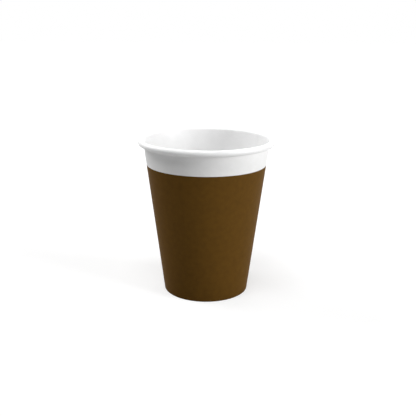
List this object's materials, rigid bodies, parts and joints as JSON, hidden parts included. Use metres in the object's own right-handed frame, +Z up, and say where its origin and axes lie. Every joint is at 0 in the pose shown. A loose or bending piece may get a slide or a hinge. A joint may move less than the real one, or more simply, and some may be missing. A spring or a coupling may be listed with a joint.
{
  "type": "paper cup",
  "caption": "Single-wall tapered paper cup with rolled rim, lapped side seam, folded-in foot hem round a recessed base disc, and a brown printed field below a plain white band.",
  "frame": {"origin": "on the cup's axis, on the floor that the cup stands on", "axes": "+Z up along the cup's axis, from the foot to the rim; the side seam is just past +X, towards +Y"},
  "size_m": [0.0798, 0.0798, 0.0925],
  "materials": {
    "white_board": "matte coated white board",
    "base_board": "matte coated white board, pressed",
    "brown_ink": "satin brown print"
  },
  "bodies": {
    "root": {"sidewall": "white_board", "base_disc": "base_board", "brown_print": "brown_ink"}
  },
  "joints": []
}
